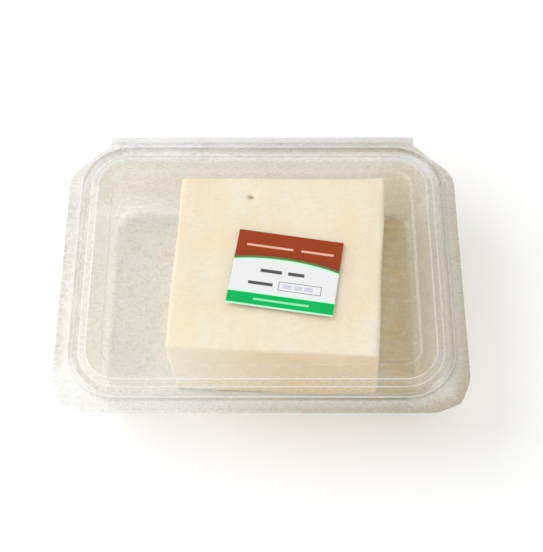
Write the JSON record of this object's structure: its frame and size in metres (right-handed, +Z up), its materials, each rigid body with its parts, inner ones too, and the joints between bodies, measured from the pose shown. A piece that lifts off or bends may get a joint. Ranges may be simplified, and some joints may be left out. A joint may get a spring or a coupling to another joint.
{
  "type": "tofu block in a clear hinged tray",
  "caption": "Hand-cut block of tofu in a shut, clear, thin-walled tray with a hinged lid shut over it and a printed paper sticker on top.",
  "frame": {"origin": "middle of the tray's flat underside", "axes": "+Z up, +Y towards the hinge at the rear, +X to the right seen from the front"},
  "size_m": [0.196, 0.1562, 0.0454],
  "materials": {
    "clear_sheet": "clear thermoformed sheet, glossy, with a faint haze of condensation",
    "tofu": "moist satin cream curd with faint cloth and knife marks",
    "sticker_paper": "smooth semi-gloss paper with red-brown and green printed bands"
  },
  "bodies": {
    "tray": {"tray": "clear_sheet", "tofu": "tofu"},
    "lid": {"lid": "clear_sheet", "label": "sticker_paper"}
  },
  "joints": [
    {"name": "lid_hinge", "type": "hinge", "parent": "tray", "child": "lid", "pos_m": [0, 0.079, 0.04], "axis": [-1, 0, 0], "range_deg": [0, 180]}
  ]
}
